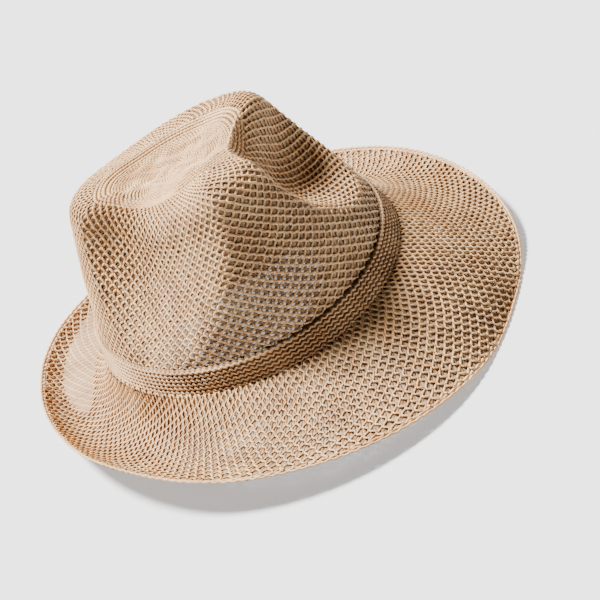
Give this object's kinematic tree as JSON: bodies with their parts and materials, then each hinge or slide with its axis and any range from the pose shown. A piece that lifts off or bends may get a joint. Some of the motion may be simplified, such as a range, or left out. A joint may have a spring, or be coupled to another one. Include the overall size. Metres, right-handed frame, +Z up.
{
  "type": "knitted straw fedora hat",
  "caption": "Soft open-knit straw hat with a pinched crown, a ribbed band and a wide brim turned up at the back.",
  "frame": {"origin": "under the middle of the hat, on the surface that its brim rests on", "axes": "+Z up, the front of the hat toward -Y, +X toward the wearer's left"},
  "size_m": [0.2762, 0.3156, 0.121],
  "materials": {
    "straw_knit": "matt open knit of pale straw cord",
    "straw_rib": "matt tight rib knit of pale straw cord"
  },
  "bodies": {
    "root": {"crown": "straw_knit", "band": "straw_rib", "brim": "straw_knit"}
  },
  "joints": []
}
